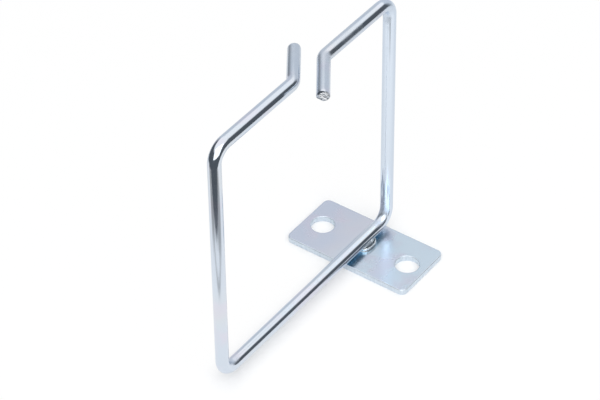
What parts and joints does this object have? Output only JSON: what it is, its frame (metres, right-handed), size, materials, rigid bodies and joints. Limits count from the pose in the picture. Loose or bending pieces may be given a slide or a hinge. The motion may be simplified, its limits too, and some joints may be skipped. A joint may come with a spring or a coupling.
{
  "type": "cable guide bracket",
  "caption": "Square open ring bent from round steel wire, with a slanted entry gap at the top, welded by its lower run onto a small punched plate for screws.",
  "frame": {"origin": "centre of the screw plate's underside, midway between the screw holes, on the mounting face", "axes": "+Z is the mounting face's inward normal, from the face through the plate towards the ring; X runs along the plate through both screw holes; the ring stands in the YZ plane and reaches towards -Y"},
  "size_m": [0.044, 0.088, 0.0903],
  "materials": {
    "zinc_wire": "bright blue-white zinc plating on drawn wire",
    "zinc_plate": "satin blue-white zinc plating on cold-rolled sheet",
    "weld_metal": "rough resistance weld metal under zinc plating"
  },
  "bodies": {
    "root": {"wire_ring": "zinc_wire", "base_plate": "zinc_plate", "weld_bead": "weld_metal"}
  },
  "joints": []
}
